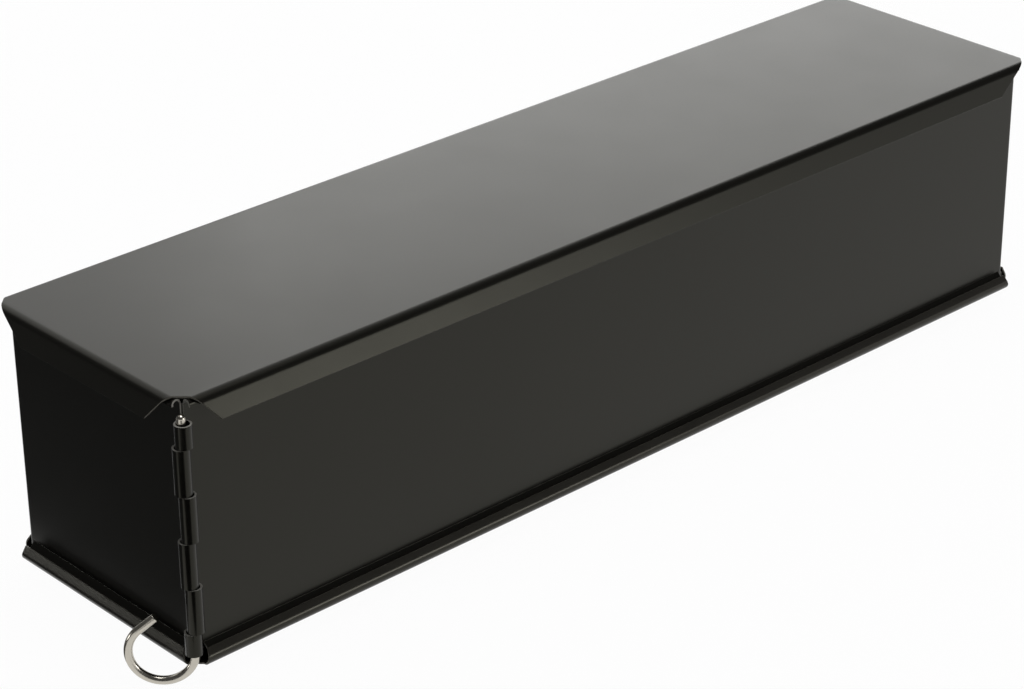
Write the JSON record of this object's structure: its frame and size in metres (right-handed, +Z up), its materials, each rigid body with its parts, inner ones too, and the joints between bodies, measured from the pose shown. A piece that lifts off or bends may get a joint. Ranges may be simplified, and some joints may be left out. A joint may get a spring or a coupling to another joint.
{
  "type": "terrine mold",
  "caption": "Long narrow terrine mold of black coated sheet steel: folded lid, folded base tray and hinged wall halves locked at opposite corners by ringed wire pins.",
  "frame": {"origin": "centre of the base tray's underside", "axes": "+X along the length, +Z up towards the lid; the front pin is at the -X, -Y corner"},
  "size_m": [0.3848, 0.0944, 0.0893],
  "materials": {
    "coated_steel": "satin black non-stick coating",
    "steel_wire": "bright drawn wire"
  },
  "bodies": {
    "mold": {"base_tray": "coated_steel", "front_half": "coated_steel", "rear_half": "coated_steel"},
    "lid": {"lid": "coated_steel"},
    "front_pin": {"front_pin": "steel_wire"},
    "rear_pin": {"rear_pin": "steel_wire"}
  },
  "joints": [
    {"name": "lid_lift", "type": "slide", "parent": "mold", "child": "lid", "axis": [0, 0, 1], "range_m": [0, 0.12]},
    {"name": "front_pin_pull", "type": "slide", "parent": "mold", "child": "front_pin", "axis": [0, 0, -1], "range_m": [0, 0.085]},
    {"name": "rear_pin_pull", "type": "slide", "parent": "mold", "child": "rear_pin", "axis": [0, 0, -1], "range_m": [0, 0.085]}
  ]
}
